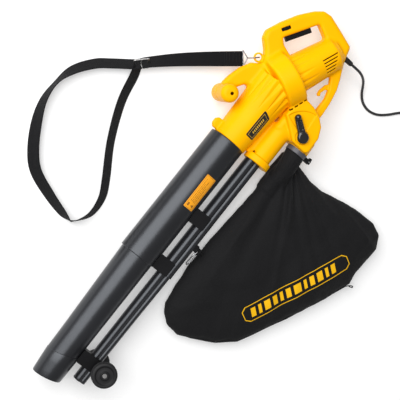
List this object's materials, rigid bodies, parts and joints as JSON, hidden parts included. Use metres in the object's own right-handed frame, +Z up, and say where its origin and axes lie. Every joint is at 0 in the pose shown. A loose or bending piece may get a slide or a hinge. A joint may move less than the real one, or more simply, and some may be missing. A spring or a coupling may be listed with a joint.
{
  "type": "leaf vacuum mulcher",
  "caption": "Hand-held corded leaf vacuum, blower and mulcher with suction and blow tubes, nozzle wheels, collection bag and shoulder strap, lying on its side.",
  "frame": {"origin": "centre of the machine's footprint on the floor, the mains lead left out, as it lies on its right side", "axes": "+X along the suction tube from the nozzle to the motor, +Y from the bag to the carrying handle, +Z up, which is the machine's left side"},
  "size_m": [1.2048, 0.9484, 0.148],
  "materials": {
    "yellow_plastic": "moulded ABS, semi-gloss",
    "tube_plastic": "moulded, soft gloss",
    "black_plastic": "moulded, matt",
    "grey_plastic": "moulded, matt",
    "rubber_black": "soft black",
    "bright_steel": "zinc plated",
    "wire_chrome": "nickel plated wire",
    "lamination_steel": "stacked laminations with varnished windings",
    "copper_alloy": "copper alloy",
    "bag_cloth": "woven polyester",
    "strap_webbing": "woven polypropylene webbing",
    "badge_black": "printed plate",
    "sticker_orange": "printed film",
    "cord_rubber": "smooth rubber sheath"
  },
  "bodies": {
    "machine": {"housing_left": "yellow_plastic", "housing_right": "yellow_plastic", "housing_screws": "bright_steel", "suction_tube_upper": "tube_plastic", "suction_tube_lower": "tube_plastic", "suction_nozzle": "tube_plastic", "blow_tube_upper": "tube_plastic", "blow_tube_lower": "tube_plastic", "tube_clamp_upper": "black_plastic", "tube_clamp_lower": "black_plastic", "wheel_bracket": "black_plastic", "bag_hook_bracket": "black_plastic", "wheel_axle": "bright_steel", "axle_caps": "bright_steel", "bearing_front": "bright_steel", "bearing_rear": "bright_steel", "motor_mount_plate": "black_plastic", "rear_bearing_bracket": "black_plastic", "stator": "lamination_steel", "carbon_brushes": "copper_alloy", "brush_holders": "black_plastic", "trigger_pin": "bright_steel", "trigger_spring": "bright_steel", "switch_body": "black_plastic", "dial_pin": "bright_steel", "badge_plate": "badge_black", "tube_sticker": "sticker_orange", "outlet_spout": "grey_plastic", "bag_fabric": "bag_cloth", "bag_collar": "grey_plastic", "latch_base": "black_plastic", "latch_pin": "bright_steel", "bag_zip": "bag_cloth", "zip_pull": "wire_chrome", "bag_loop": "bag_cloth", "bag_snap_hook": "wire_chrome", "strap_lead": "strap_webbing", "strap_loop_far": "strap_webbing", "strap_loop_near": "strap_webbing", "strap_slider": "wire_chrome", "strap_hook": "wire_chrome", "power_cord": "cord_rubber", "cord_boot": "rubber_black", "plug_body": "rubber_black", "plug_pins": "copper_alloy"},
    "rotor": {"impeller": "black_plastic", "impeller_nut": "bright_steel", "motor_shaft": "bright_steel", "armature": "lamination_steel", "commutator": "copper_alloy"},
    "wheel_left_body": {"wheel_left": "rubber_black"},
    "wheel_right_body": {"wheel_right": "rubber_black"},
    "trigger_body": {"trigger": "black_plastic"},
    "selector": {"mode_lever": "black_plastic", "diverter_spindle": "black_plastic", "diverter_flap": "black_plastic"},
    "dial_body": {"speed_dial": "black_plastic"},
    "latch_body": {"bag_latch": "black_plastic"}
  },
  "joints": [
    {"name": "fan_spin", "type": "hinge", "parent": "machine", "child": "rotor", "pos_m": [0.37308, 0.03533, 0.074], "axis": [0.9239, -0.3827, 0], "continuous": true},
    {"name": "wheel_left_spin", "type": "hinge", "parent": "machine", "child": "wheel_left_body", "pos_m": [-0.47492, -0.05367, 0.137], "axis": [0, 0, 1], "continuous": true},
    {"name": "wheel_right_spin", "type": "hinge", "parent": "machine", "child": "wheel_right_body", "pos_m": [-0.47492, -0.05367, 0.011], "axis": [0, 0, 1], "continuous": true},
    {"name": "trigger_pull", "type": "hinge", "parent": "machine", "child": "trigger_body", "pos_m": [0.46633, 0.10734, 0.074], "axis": [0, 0, 1], "range_deg": [0, 6], "stiffness_Nm_per_rad": 0.6, "springref_deg": -34.38},
    {"name": "mode_lever_turn", "type": "hinge", "parent": "machine", "child": "selector", "pos_m": [0.28808, -0.08167, 0.074], "axis": [0, 0, 1], "range_deg": [-35, 0]},
    {"name": "speed_dial_turn", "type": "hinge", "parent": "machine", "child": "dial_body", "pos_m": [0.47394, 0.11792, 0.081], "axis": [-0.5201, -0.8541, 0], "range_deg": [-135, 135]},
    {"name": "bag_latch_release", "type": "hinge", "parent": "machine", "child": "latch_body", "pos_m": [0.25708, -0.14717, 0.074], "axis": [0, 0, 1], "range_deg": [-12, 0], "stiffness_Nm_per_rad": 0.05, "springref_deg": 17.19}
  ]
}
